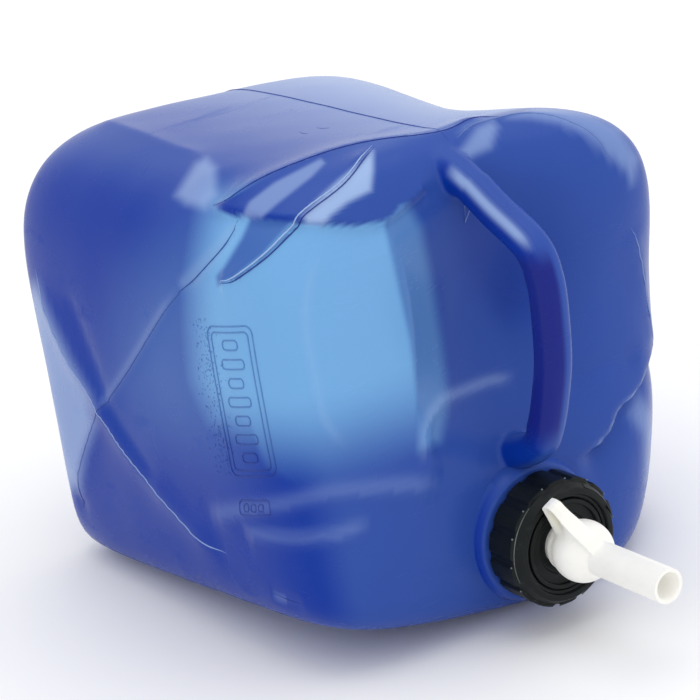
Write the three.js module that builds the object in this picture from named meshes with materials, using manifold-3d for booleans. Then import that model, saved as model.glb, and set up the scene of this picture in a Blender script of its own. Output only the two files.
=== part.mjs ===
// A collapsible water carrier: a soft blow-moulded cube with a carry handle and a screw-on spigot.
// Millimetres, +Z up. The origin is the middle of the base, +X points out of the neck,
// and y = 0 is the parting plane of the mould, through the handle and the neck.
import * as THREE from 'three';
import { mergeVertices } from 'three/addons/utils/BufferGeometryUtils.js';
import Module from 'manifold-3d';

const wasm = await Module();
wasm.setup();

// ---- Driving dimensions ----
const wall = 1.5;
const centre = new THREE.Vector3(5, 0, 136);
const edgeSharpness = 13.2;
const gridSteps = 14;

const neckHeight = 50;
const shoulderX = 149;
const shoulderRadius = 40;
const insideBody = 100;
const rimX = 165.2;
const neckBore = 26.8;
const neckRoot = 29.5;
const neckCrest = 31.5;
const threadPitch = 6;
const threadTurns = 1.25;
const threadStart = 152.8;
const roundSteps = 40;

const collarBack = 151;
const collarFace = 175;
const collarBore = 32.2;
const collarThreadCrest = 30.3;
const collarOpening = 26;
const collarOuter = 34.7;
const ribCount = 14;
const ribHeight = 1.3;

const plateBack = 167.8;
const plateFront = 171.2;
const plateRadius = 31.4;
const lipInner = 22.4;
const lipOuter = 25.3;
const sealGap = 0.3;
const socketBack = 146;
const socketOuter = 15.2;
const socketBore = 12.6;
const portX = 153.5;
const portRadius = 4;

const stemBack = 141.5;
const stemRadius = 11.2;
const snapGroove = { start: 144, end: 145.8, radius: 9.6 };
const sealGroove = { start: 163.4, end: 166.6, radius: 9.9 };
const tapBore = 7.2;
const tapBoreEnd = 148;
const ballRadius = 17;
const ballMiddle = 186.6;
const footRadius = 14;
const footBack = 172.6;
const spoutRadius = 9.5;
const spoutEnd = 253;
const wingBack = 176;
const wingReach = 35.5;
const wingThickness = 8.6;
const wingLean = THREE.MathUtils.degToRad(26);

// ---- Turning geometry into solids and back ----
function signedVolume(position, index) {
  const a = new THREE.Vector3();
  const b = new THREE.Vector3();
  const c = new THREE.Vector3();
  let sum = 0;
  for (let i = 0; i < index.count; i += 3) {
    a.fromBufferAttribute(position, index.getX(i));
    b.fromBufferAttribute(position, index.getX(i + 1));
    c.fromBufferAttribute(position, index.getX(i + 2));
    sum += a.dot(b.cross(c));
  }
  return sum / 6;
}

function solid(geometry) {
  const bare = geometry.clone();
  bare.deleteAttribute('normal');
  bare.deleteAttribute('uv');
  const merged = mergeVertices(bare, 1e-4);
  const triangles = Uint32Array.from(merged.index.array);
  if (signedVolume(merged.attributes.position, merged.index) < 0) {
    for (let i = 0; i < triangles.length; i += 3) {
      [triangles[i + 1], triangles[i + 2]] = [triangles[i + 2], triangles[i + 1]];
    }
  }
  const vertProperties = Float32Array.from(merged.attributes.position.array);
  return new wasm.Manifold(new wasm.Mesh({ numProp: 3, vertProperties, triVerts: triangles }));
}

function joined(...solids) {
  return solids.reduce((all, next) => all.add(next));
}

function geometryOf(manifold) {
  const mesh = manifold.getMesh();
  const geometry = new THREE.BufferGeometry();
  geometry.setAttribute('position', new THREE.BufferAttribute(Float32Array.from(mesh.vertProperties), 3));
  geometry.setIndex(new THREE.BufferAttribute(Uint32Array.from(mesh.triVerts), 1));
  geometry.computeVertexNormals();
  return geometry;
}

// A profile of [x, radius] points turned round the neck's axis. Closed profiles make rings.
function turned(profile, steps = roundSteps, closed = false) {
  const points = profile.map(([x, radius]) => new THREE.Vector2(radius, x));
  if (closed) {
    points.push(points[0].clone());
  }
  const geometry = new THREE.LatheGeometry(points, steps);
  geometry.rotateZ(-Math.PI / 2);
  geometry.translate(0, 0, neckHeight);
  return solid(geometry);
}

function ring(xStart, xEnd, innerRadius, outerRadius, steps = roundSteps) {
  const profile = [[xStart, innerRadius], [xStart, outerRadius], [xEnd, outerRadius], [xEnd, innerRadius]];
  return turned(profile, steps, true);
}

function disc(xStart, xEnd, radius, steps = roundSteps) {
  return turned([[xStart, 0], [xStart, radius], [xEnd, radius], [xEnd, 0]], steps);
}

// ---- The soft body ----
// The body is the space inside these panels, with rounded edges where they meet.
// Each panel has its outward direction and its distance from the body's centre.
const panels = [
  { name: 'top', out: [0, 0, 1], distance: 131 },
  { name: 'base', out: [0, 0, -1], distance: 141 },
  { name: 'left side', out: [0, -1, 0], distance: 138 },
  { name: 'right side', out: [0, 1, 0], distance: 146 },
  { name: 'back', out: [-1, 0, 0], distance: 155 },
  { name: 'front', out: [1, 0, 0], distance: 141 },
  { name: 'upper front', out: [0.972, 0, 0.235], distance: 131 },
  { name: 'back left top corner', out: [-0.28, -0.65, 0.71], distance: 208 },
  { name: 'back right top corner', out: [-0.79, 0.15, 0.59], distance: 184.5 },
  { name: 'left top edge', out: [0.03, -0.69, 0.72], distance: 167 },
  { name: 'right top edge', out: [0.11, 0.63, 0.77], distance: 136.5 },
  { name: 'front right edge', out: [0.67, 0.74, 0], distance: 167.5 },
  { name: 'front right low corner', out: [0.67, 0.67, -0.32], distance: 187 },
  { name: 'front left low corner', out: [0.12, -0.29, -0.95], distance: 155 },
  { name: 'front left edge', out: [0.7, -0.7, 0.1], distance: 177 },
].map(({ out, distance }) => ({ unit: new THREE.Vector3(...out).normalize(), distance }));

// Corners that swell out past the panels. The spread is an angle in radians.
const lobes = [
  { name: 'front right top', towards: [124, 92, 240], spread: 0.3, height: 36 },
  { name: 'back left', towards: [-110, -120, 215], spread: 0.4, height: 4.5 },
].map(({ towards, spread, height }) => {
  const unit = new THREE.Vector3(...towards).sub(centre).normalize();
  return { unit, spread, height };
});

// The hollow for the hand, behind the handle.
const pocket = { middleZ: 164, halfHeight: 84, halfWidth: 72, depth: 25 };

function bell(offset, halfWidth) {
  const share = Math.min(Math.abs(offset) / halfWidth, 1);
  return 0.5 + 0.5 * Math.cos(Math.PI * share);
}

function bodyPoint(direction, inset) {
  let pressed = 0;
  for (const { unit, distance } of panels) {
    pressed += Math.max(0, unit.dot(direction) / distance) ** edgeSharpness;
  }
  let reach = pressed ** (-1 / edgeSharpness);
  for (const lobe of lobes) {
    const angle = lobe.unit.angleTo(direction);
    reach += lobe.height * Math.exp(-((angle / lobe.spread) ** 2));
  }
  const point = direction.clone().multiplyScalar(reach - inset).add(centre);
  if (point.x > 0) {
    const hollow = bell(point.z - pocket.middleZ, pocket.halfHeight) * bell(point.y, pocket.halfWidth);
    point.x -= pocket.depth * hollow * Math.min(1, point.x / 60);
  }
  point.z = Math.max(point.z, inset);
  return point;
}

// An even grid over the six sides of a cube, pushed out to the body's surface.
function bodySurface(inset) {
  const geometry = new THREE.BoxGeometry(2, 2, 2, gridSteps, gridSteps, gridSteps);
  const position = geometry.attributes.position;
  const direction = new THREE.Vector3();
  for (let i = 0; i < position.count; i += 1) {
    direction.fromBufferAttribute(position, i);
    for (const axis of ['x', 'y', 'z']) {
      direction[axis] = Math.tan((direction[axis] * Math.PI) / 4);
    }
    const point = bodyPoint(direction.normalize(), inset);
    position.setXYZ(i, point.x, point.y, point.z);
  }
  return solid(geometry);
}

// ---- The handle: a hollow bar from the top edge down to just above the neck ----
const handlePath = new THREE.CatmullRomCurve3([
  new THREE.Vector3(72, 0, 246),
  new THREE.Vector3(98, 0, 250),
  new THREE.Vector3(121.5, 0, 243.5),
  new THREE.Vector3(143.5, 0, 231.5),
  new THREE.Vector3(170, 0, 217),
  new THREE.Vector3(178.5, 0, 200),
  new THREE.Vector3(179.5, 0, 177),
  new THREE.Vector3(178, 0, 156),
  new THREE.Vector3(173.5, 0, 137),
  new THREE.Vector3(167.5, 0, 119),
  new THREE.Vector3(159.5, 0, 105),
  new THREE.Vector3(147, 0, 98),
  new THREE.Vector3(130, 0, 93),
  new THREE.Vector3(105, 0, 88),
]);

function handleBar(inset) {
  const halfThick = 9.5 - inset;
  const halfWide = 10.5 - inset;
  const section = new THREE.Shape(
    new THREE.EllipseCurve(0, 0, halfThick, halfWide, 0, 2 * Math.PI).getPoints(12).slice(0, 12),
  );
  const sweep = { steps: 26, extrudePath: handlePath, bevelEnabled: false };
  return solid(new THREE.ExtrudeGeometry(section, sweep));
}

// ---- Screw threads ----
// A ridge wound round the neck's axis, fading in and out at its ends.
function thread(startX, rootRadius, crestRadius, rootWidth = 2.4, crestWidth = 1.4) {
  const steps = Math.round(roundSteps * threadTurns);
  const fade = roundSteps / 8;
  const corners = [];
  for (let i = 0; i <= steps; i += 1) {
    const angle = (i / roundSteps) * 2 * Math.PI;
    const middle = startX + (i / roundSteps) * threadPitch;
    const share = Math.min(1, i / fade, (steps - i) / fade);
    const crest = THREE.MathUtils.lerp(rootRadius, crestRadius, 0.1 + 0.9 * share);
    for (const [x, radius] of [
      [middle - rootWidth / 2, rootRadius],
      [middle - crestWidth / 2, crest],
      [middle + crestWidth / 2, crest],
      [middle + rootWidth / 2, rootRadius],
    ]) {
      corners.push(x, radius * Math.cos(angle), neckHeight + radius * Math.sin(angle));
    }
  }
  const faces = [];
  for (let i = 0; i < steps; i += 1) {
    for (let side = 0; side < 4; side += 1) {
      const a = 4 * i + side;
      const b = 4 * i + ((side + 1) % 4);
      faces.push(a, b, b + 4, a, b + 4, a + 4);
    }
  }
  const last = 4 * steps;
  faces.push(0, 2, 1, 0, 3, 2, last, last + 1, last + 2, last, last + 2, last + 3);
  const geometry = new THREE.BufferGeometry();
  geometry.setAttribute('position', new THREE.Float32BufferAttribute(corners, 3));
  geometry.setIndex(faces);
  return solid(geometry);
}

// ---- Container shell ----
function containerShell() {
  const shoulder = turned([
    [insideBody, 0],
    [insideBody, shoulderRadius],
    [shoulderX - 6, shoulderRadius],
    [shoulderX, shoulderRadius - 2.5],
    [shoulderX, 0],
  ]);
  const filletRadius = neckRoot + 1.5;
  const rimChamfer = 0.8;
  const neck = turned([
    [insideBody, 0],
    [insideBody, filletRadius],
    [shoulderX + 1.5, filletRadius],
    [shoulderX + 3, neckRoot],
    [rimX - rimChamfer, neckRoot],
    [rimX, neckRoot - rimChamfer],
    [rimX, 0],
  ]);
  const ridge = thread(threadStart, neckRoot - 0.6, neckCrest);
  const outside = joined(bodySurface(0), shoulder, neck, ridge, handleBar(0));
  const inside = joined(bodySurface(wall), disc(insideBody - 10, rimX + 5, neckBore), handleBar(wall));
  return outside.subtract(inside);
}

// ---- Screw collar ----
function collarOutline() {
  const outline = new THREE.Shape();
  const stepsPerRib = 8;
  const count = ribCount * stepsPerRib;
  for (let i = 0; i < count; i += 1) {
    const angle = (i / count) * 2 * Math.PI;
    const phase = (i % stepsPerRib) / stepsPerRib;
    const onRib = phase >= 0.25 && phase < 0.8;
    const radius = collarOuter + (onRib ? ribHeight : 0);
    const x = radius * Math.cos(angle);
    const y = radius * Math.sin(angle);
    if (i === 0) {
      outline.moveTo(x, y);
    } else {
      outline.lineTo(x, y);
    }
  }
  outline.closePath();
  return outline;
}

function screwCollar() {
  const length = collarFace - collarBack;
  const ribbed = new THREE.ExtrudeGeometry(collarOutline(), { depth: length, bevelEnabled: false });
  ribbed.rotateY(Math.PI / 2);
  ribbed.translate(collarBack, 0, neckHeight);
  const outer = collarOuter + ribHeight;
  const envelope = turned([
    [collarBack - 1, 0],
    [collarBack - 1, outer + 1],
    [collarFace - 4.5, outer + 1],
    [collarFace, outer - 3.4],
    [collarFace, 0],
  ]);
  const bore = disc(collarBack - 1, plateFront + 0.3, collarBore);
  const opening = turned([
    [plateFront - 1, 0],
    [plateFront - 1, collarOpening],
    [collarFace - 1.6, collarOpening],
    [collarFace + 0.2, collarOpening + 1.8],
    [collarFace + 0.2, 0],
  ]);
  const ridge = thread(threadStart + threadPitch / 2, collarBore + 0.6, collarThreadCrest);
  return solid(ribbed).intersect(envelope).subtract(bore).subtract(opening).add(ridge);
}

// ---- Spigot plate: the disc under the collar, with the socket for the tap's stem ----
function spigotPlate() {
  const plate = disc(plateBack, plateFront, plateRadius);
  const lip = ring(plateFront - 0.5, collarFace - 1.5, lipInner, lipOuter);
  const socket = disc(socketBack, plateFront, socketOuter);
  const hole = disc(socketBack - 1, plateFront + 1, socketBore);
  const port = new THREE.CylinderGeometry(portRadius, portRadius, 12, 16);
  port.rotateX(Math.PI / 2);
  port.translate(portX, 0, neckHeight - socketBore - 2);
  return joined(plate, lip, socket).subtract(hole).subtract(solid(port));
}

// ---- Seals ----
function portSleeve() {
  const sleeve = ring(147.5, 160, 11.45, socketBore - 0.25);
  const port = new THREE.CylinderGeometry(portRadius, portRadius, 8, 16);
  port.rotateX(Math.PI / 2);
  port.translate(portX, 0, neckHeight - 12);
  return sleeve.subtract(solid(port));
}

function neckGasket() {
  return ring(rimX + sealGap, plateBack - sealGap, neckBore + 0.4, plateRadius - 0.4);
}

function oRing() {
  const middleX = (sealGroove.start + sealGroove.end) / 2;
  const middleRadius = (sealGroove.radius + socketBore) / 2;
  const section = new THREE.EllipseCurve(0, 0, 1.15, 1.1, 0, 2 * Math.PI).getPoints(8).slice(0, 8);
  return turned(section.map((point) => [middleX + point.x, middleRadius + point.y]), 24, true);
}

// ---- Retaining ring: a C-shaped snap ring in the groove behind the socket ----
function retainingRing() {
  const halfGap = THREE.MathUtils.degToRad(24);
  const outline = new THREE.Shape();
  outline.absarc(0, 0, 14, halfGap, 2 * Math.PI - halfGap, false);
  outline.absarc(0, 0, 9.9, 2 * Math.PI - halfGap, halfGap, true);
  outline.closePath();
  const depth = snapGroove.end - snapGroove.start - 0.4;
  const geometry = new THREE.ExtrudeGeometry(outline, { depth, bevelEnabled: false, curveSegments: 16 });
  geometry.rotateY(Math.PI / 2);
  geometry.translate(snapGroove.start + 0.2, 0, neckHeight);
  return solid(geometry);
}

// ---- Tap: stem, ball, thumb wing and spout in one moulding, hollow from the spout to the port ----
function tapWing() {
  const outline = new THREE.Shape();
  outline.moveTo(0, wingBack);
  outline.lineTo(wingReach - 7, wingBack + 1);
  outline.quadraticCurveTo(wingReach, wingBack + 2, wingReach, wingBack + 7);
  outline.quadraticCurveTo(wingReach - 0.5, wingBack + 11, wingReach - 6, wingBack + 12.5);
  outline.quadraticCurveTo(24, wingBack + 16, 14, wingBack + 25);
  outline.lineTo(0, wingBack + 30);
  outline.closePath();
  const geometry = new THREE.ExtrudeGeometry(outline, {
    depth: wingThickness - 1.6,
    bevelThickness: 0.8,
    bevelSize: 0.8,
    bevelOffset: -0.8,
    bevelSegments: 1,
    curveSegments: 6,
  });
  geometry.translate(0, 0, -(wingThickness - 1.6) / 2);
  // The outline's first axis becomes the radius (+Z) and its second axis becomes +X.
  geometry.applyMatrix4(new THREE.Matrix4().set(0, 1, 0, 0, 0, 0, 1, 0, 1, 0, 0, 0, 0, 0, 0, 1));
  geometry.rotateX(wingLean);
  geometry.translate(0, 0, neckHeight);
  return solid(geometry);
}

function groove({ start, end, radius }) {
  return [[start, stemRadius], [start, radius], [end, radius], [end, stemRadius]];
}

function tapBody() {
  const profile = [
    [stemBack, 0],
    [stemBack, stemRadius],
    ...groove(snapGroove),
    ...groove(sealGroove),
    [footBack, stemRadius],
    [footBack, footRadius - 1],
    [footBack + 1, footRadius],
  ];
  const ballSteps = 12;
  const startAngle = -Math.acos(footRadius / ballRadius);
  const endAngle = Math.acos(spoutRadius / ballRadius);
  for (let i = 0; i <= ballSteps; i += 1) {
    const angle = THREE.MathUtils.lerp(startAngle, endAngle, i / ballSteps);
    profile.push([ballMiddle + ballRadius * Math.sin(angle), ballRadius * Math.cos(angle)]);
  }
  profile.push([spoutEnd - 0.6, spoutRadius], [spoutEnd, spoutRadius - 0.6], [spoutEnd, 0]);
  const port = new THREE.CylinderGeometry(portRadius - 0.5, portRadius - 0.5, 14, 16);
  port.translate(portX, -8, neckHeight);
  const bore = disc(tapBoreEnd, spoutEnd + 1, tapBore);
  return joined(turned(profile), tapWing()).subtract(bore).subtract(solid(port));
}

// ---- Materials and the assembly ----
const blueShell = new THREE.MeshStandardMaterial({ color: 0x3346a8, roughness: 0.28, metalness: 0 });
const blackPlastic = new THREE.MeshStandardMaterial({ color: 0x141816, roughness: 0.42, metalness: 0 });
const whitePlastic = new THREE.MeshStandardMaterial({ color: 0xf1f0ea, roughness: 0.35, metalness: 0 });
const darkRubber = new THREE.MeshStandardMaterial({ color: 0x1c1c1e, roughness: 0.8, metalness: 0 });
const paleRubber = new THREE.MeshStandardMaterial({ color: 0xc9c4b4, roughness: 0.7, metalness: 0 });

function piece(name, manifold, material) {
  const mesh = new THREE.Mesh(geometryOf(manifold), material);
  mesh.name = name;
  return mesh;
}

const container = new THREE.Group();
container.add(piece('container_shell', containerShell(), blueShell));

const plug = new THREE.Group();
plug.add(piece('spigot_plate', spigotPlate(), blackPlastic));
plug.add(piece('neck_gasket', neckGasket(), paleRubber));
plug.add(piece('port_sleeve', portSleeve(), paleRubber));

const cap = new THREE.Group();
cap.add(piece('screw_collar', screwCollar(), blackPlastic));

const tap = new THREE.Group();
tap.add(piece('tap_body', tapBody(), whitePlastic));
tap.add(piece('stem_o_ring', oRing(), darkRubber));
tap.add(piece('retaining_ring', retainingRing(), whitePlastic));

const waterCarrier = new THREE.Group();
waterCarrier.add(container, plug, cap, tap);
export default waterCarrier;
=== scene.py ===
import math

import bmesh
import bpy
import numpy as np
from mathutils import Matrix, Vector
from mathutils.bvhtree import BVHTree


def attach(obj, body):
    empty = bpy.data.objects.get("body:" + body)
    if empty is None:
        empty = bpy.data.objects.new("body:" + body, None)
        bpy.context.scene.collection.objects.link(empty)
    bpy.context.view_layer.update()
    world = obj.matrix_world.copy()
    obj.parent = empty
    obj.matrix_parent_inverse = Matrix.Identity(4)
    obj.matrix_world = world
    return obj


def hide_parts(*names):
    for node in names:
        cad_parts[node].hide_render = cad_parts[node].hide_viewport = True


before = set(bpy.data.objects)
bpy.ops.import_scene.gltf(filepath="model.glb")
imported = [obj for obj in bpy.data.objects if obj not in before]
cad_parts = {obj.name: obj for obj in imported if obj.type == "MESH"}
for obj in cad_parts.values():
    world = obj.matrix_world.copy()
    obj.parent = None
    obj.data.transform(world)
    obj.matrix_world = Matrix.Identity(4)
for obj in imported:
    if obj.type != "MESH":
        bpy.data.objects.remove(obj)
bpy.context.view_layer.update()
mm = 0.001  # shapes below are in millimetres and turn into metres when a mesh is made
print("frame loaded")


# camera first: it looks at the near left corner, a little rolled so the carrier leans left
shot = {
    "place": (1.0988, -0.7221, 0.5866),
    "azimuth": 57,
    "elevation": 19.4,
    "roll": 7.4,
    "lens": 123.4,
}


def addCamera():
    azimuth = math.radians(shot["azimuth"])
    elevation = math.radians(shot["elevation"])
    level = math.cos(elevation)
    ahead = Vector((-math.sin(azimuth) * level, math.cos(azimuth) * level, -math.sin(elevation)))
    right = ahead.cross(Vector((0, 0, 1))).normalized()
    up = right.cross(ahead)
    roll = math.radians(shot["roll"])
    rolledRight = right * math.cos(roll) - up * math.sin(roll)
    rolledUp = right * math.sin(roll) + up * math.cos(roll)
    camera = bpy.data.objects.new("camera", bpy.data.cameras.new("camera"))
    camera.data.lens = shot["lens"]
    camera.data.sensor_width = 36
    camera.data.clip_end = 20
    turn = Matrix((rolledRight, rolledUp, -ahead)).transposed().to_4x4()
    camera.matrix_world = Matrix.Translation(shot["place"]) @ turn
    bpy.context.scene.collection.objects.link(camera)
    bpy.context.scene.camera = camera


addCamera()
print("camera placed")


# helpers that make and change meshes
def unitRows(rows):
    return rows / np.linalg.norm(rows, axis=-1, keepdims=True)


def linkMesh(name, points, faces):
    mesh = bpy.data.meshes.new(name)
    mesh.from_pydata((np.asarray(points, float) * mm).tolist(), [], faces)
    piece = bpy.data.objects.new(name, mesh)
    bpy.context.scene.collection.objects.link(piece)
    tidyMesh(piece)
    return piece


def tidyMesh(piece, gap=1e-6):
    work = bmesh.new()
    work.from_mesh(piece.data)
    bmesh.ops.remove_doubles(work, verts=work.verts, dist=gap)
    bmesh.ops.dissolve_degenerate(work, edges=work.edges, dist=gap)
    bmesh.ops.recalc_face_normals(work, faces=work.faces)
    work.to_mesh(piece.data)
    work.free()


def applied(piece):
    # turns the modifiers' result into the mesh itself
    depsgraph = bpy.context.evaluated_depsgraph_get()
    mesh = bpy.data.meshes.new_from_object(piece.evaluated_get(depsgraph))
    piece.modifiers.clear()
    piece.data = mesh
    return piece


def combine(piece, other, operation):
    step = piece.modifiers.new("combine", "BOOLEAN")
    step.operation = operation
    step.solver = "MANIFOLD"
    step.object = other
    applied(piece)
    bpy.data.objects.remove(other)
    return piece


def smoothShade(piece, angle=35):
    piece.data.shade_smooth()
    piece.data.set_sharp_from_angle(angle=math.radians(angle))
    return piece


def meshPoints(piece):
    points = np.empty(len(piece.data.vertices) * 3)
    piece.data.vertices.foreach_get("co", points)
    return points.reshape(-1, 3) / mm


def meshNormals(piece):
    normals = np.empty(len(piece.data.vertices) * 3)
    piece.data.vertices.foreach_get("normal", normals)
    return normals.reshape(-1, 3)


def ringFaces(rings, steps, closed):
    last = rings if closed else rings - 1
    faces = []
    for ring in range(last):
        a = ring * steps
        b = ((ring + 1) % rings) * steps
        faces += [(a + i, a + (i + 1) % steps, b + (i + 1) % steps, b + i) for i in range(steps)]
    return faces


neckZ = 50  # the neck's axis lies this high, over y = 0


def addTube(points, faces, rings, around, closes=False):
    # a thin tube or bump through rings of (middle, two directions across it, radius)
    first = len(points)
    for middle, across, up, radius in rings:
        for k in range(around):
            angle = 2 * math.pi * k / around
            points.append(middle + (across * math.cos(angle) + up * math.sin(angle)) * radius)
    faces += [tuple(first + index for index in face) for face in ringFaces(len(rings), around, closes)]
    if not closes:
        last = first + (len(rings) - 1) * around
        faces += [tuple(range(first, first + around)), tuple(range(last, last + around))]


def storeShare(piece, name, values):
    # keeps one number a point, for the materials to read
    piece.data.attributes.new(name, "FLOAT", "POINT").data.foreach_set("value", values)


def drill(piece, place, radius, depth, turn=0):
    # a round hole along Z, or along Y when turned by a right angle
    bpy.ops.mesh.primitive_cylinder_add(
        vertices=40, radius=radius * mm, depth=depth * mm, location=Vector(place) * mm, rotation=(turn, 0, 0)
    )
    combine(piece, bpy.context.object, "DIFFERENCE")


def turned(name, profile, steps=96, closed=False):
    # a profile of (x, radius) turned round the neck's axis
    angles = np.arange(steps) * 2 * math.pi / steps
    points = [
        (x, radius * math.cos(a), neckZ + radius * math.sin(a)) for x, radius in profile for a in angles
    ]
    return linkMesh(name, points, ringFaces(len(profile), steps, closed))


def smoothPath(corners, spacing=1.5):
    # a Catmull-Rom curve through the corners, sampled evenly enough for measuring
    corners = np.asarray(corners, float)
    ends = np.vstack([2 * corners[0] - corners[1], corners, 2 * corners[-1] - corners[-2]])
    samples = []
    for a, b, c, d in zip(ends, ends[1:], ends[2:], ends[3:]):
        count = max(2, int(np.linalg.norm(c - b) / spacing))
        t = (np.arange(count) / count)[:, None]
        samples.append(
            0.5 * (2 * b + (c - a) * t + (2 * a - 5 * b + 4 * c - d) * t**2 + (3 * b - a - 3 * c + d) * t**3)
        )
    samples.append(corners[-1:])
    return np.vstack(samples)


# the soft body: panels that a rounded cube is pressed between, lobes and the hand pocket
shell = {
    "centre": (5, 0, 136),
    "sharpness": 13.2,
    "inside": 11,  # the hollow stays clear of the deepest fold
    "lines": 114,
    "innerLines": 30,
    "crowding": 2.6,  # how much closer the mesh lines lie around the near top corner
    "crowdAt": (0.7, -0.6, 0.55),
    "crowdSpread": 0.6,
    "crest": 1.8,  # how rounded the folds' middle lines are
    "waves": ((1.1, 150, 3), (0.25, 42, 5)),  # slow waviness: (height, size, seed)
    "flatFoot": 12,
}
panels = {
    "top": ((0, 0, 1), 131),
    "base": ((0, 0, -1), 141),
    "left side": ((0, -1, 0), 138),
    "right side": ((0, 1, 0), 146),
    "back": ((-1, 0, 0), 155),
    "front": ((1, 0, 0), 141),
    "upper front": ((0.972, 0, 0.235), 131),
    "back left top corner": ((-0.28, -0.65, 0.71), 208),
    "back right top corner": ((-0.79, 0.15, 0.59), 184.5),
    "left top edge": ((0.03, -0.69, 0.72), 167),
    "right top edge": ((0.11, 0.63, 0.77), 136.5),
    "front right edge": ((0.67, 0.74, 0), 167.5),
    "front right low corner": ((0.67, 0.67, -0.32), 187),
    "front left low corner": ((0.12, -0.29, -0.95), 155),
    "front left edge": ((0.7, -0.7, 0.1), 177),
}
lobes = {
    "front right top": {"towards": (124, 92, 240), "spread": 0.3, "height": 36},
    "back left": {"towards": (-110, -120, 215), "spread": 0.4, "height": 4.5},
}
pocket = {"middleZ": 164, "halfHeight": 84, "halfWidth": 72, "depth": 25, "fadeBack": 60}
centre = np.array(shell["centre"], float)


def bell(offset, halfWidth):
    share = np.minimum(np.abs(offset) / halfWidth, 1)
    return 0.5 + 0.5 * np.cos(math.pi * share)


def pocketDepth(points):
    upright = bell(points[:, 2] - pocket["middleZ"], pocket["halfHeight"])
    level = bell(points[:, 1], pocket["halfWidth"])
    return pocket["depth"] * upright * level * np.clip(points[:, 0] / pocket["fadeBack"], 0, 1)


def bodyPoints(directions, inset=0):
    pressed = np.zeros(len(directions))
    for outward, distance in panels.values():
        unit = unitRows(np.array(outward, float))
        pressed += np.maximum(0, directions @ unit / distance) ** shell["sharpness"]
    reach = pressed ** (-1 / shell["sharpness"])
    for lobe in lobes.values():
        unit = unitRows(np.array(lobe["towards"], float) - centre)
        angle = np.arccos(np.clip(directions @ unit, -1, 1))
        reach += lobe["height"] * np.exp(-((angle / lobe["spread"]) ** 2))
    points = directions * (reach - inset)[:, None] + centre
    points[:, 0] -= pocketDepth(points)
    points[:, 2] = np.maximum(points[:, 2], inset)
    return points


def gridLines(count, crowdAt):
    # positions from -1 to 1, closer together around crowdAt
    fine = np.linspace(-1, 1, 2001)
    density = 1 + shell["crowding"] * np.exp(-(((fine - crowdAt) / shell["crowdSpread"]) ** 2))
    share = np.cumsum(density) - density[0]
    return np.interp(np.linspace(0, share[-1], count + 1), share, fine)


def cubeSphere(lines):
    # an even grid on the six sides of a cube, as unit directions and four-cornered faces
    crowd = shell["crowdAt"] if lines > shell["innerLines"] else (0, 0, 0)
    spans = [gridLines(lines, at) for at in crowd]
    corners = []
    faces = []
    side = lines + 1
    for axis in range(3):
        u, v = (axis + 1) % 3, (axis + 2) % 3
        gridU, gridV = np.meshgrid(spans[u], spans[v], indexing="ij")
        for end in (-1, 1):
            grid = np.empty((side * side, 3))
            grid[:, axis] = end
            grid[:, u] = gridU.ravel()
            grid[:, v] = gridV.ravel()
            start = len(corners) * side * side
            index = start + np.arange(side * side).reshape(side, side)
            quads = np.stack([index[:-1, :-1], index[1:, :-1], index[1:, 1:], index[:-1, 1:]], -1)
            faces.append(quads.reshape(-1, 4))
            corners.append(grid)
    points = np.round(np.tan(np.vstack(corners) * math.pi / 4), 6)
    unique, back = np.unique(points, axis=0, return_inverse=True)
    return unitRows(unique), back.reshape(-1)[np.vstack(faces)]


def surfaceSamples(corners):
    # lays a path given by a few corners onto the body's surface
    path = smoothPath(corners)
    lifted = path.copy()
    lifted[:, 0] += pocketDepth(path)
    return bodyPoints(unitRows(lifted - centre))


def nearestOnPath(points, path, reach):
    # distance to the path, which side of it, and how far along it, for the points within reach
    low, high = path.min(0) - reach, path.max(0) + reach
    near = np.where(np.all((points > low) & (points < high), axis=1))[0]
    tangents = unitRows(np.gradient(path, axis=0))
    closest = np.empty(len(near), int)
    batch = 4000  # points compared at a time, to spare memory
    for start in range(0, len(near), batch):
        block = points[near[start:start + batch]]
        gaps = ((block[:, None, :] - path[None, :, :]) ** 2).sum(-1)
        closest[start:start + batch] = gaps.argmin(1)
    offset = points[near] - path[closest]
    along = tangents[closest]
    offset -= along * (offset * along).sum(1, keepdims=True)
    outward = unitRows(path[closest] - centre)
    side = np.sign((np.cross(outward, along) * offset).sum(1))
    distance = np.linalg.norm(points[near] - path[closest], axis=1)
    share = closest / (len(path) - 1)
    return near, distance, side, share


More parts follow.
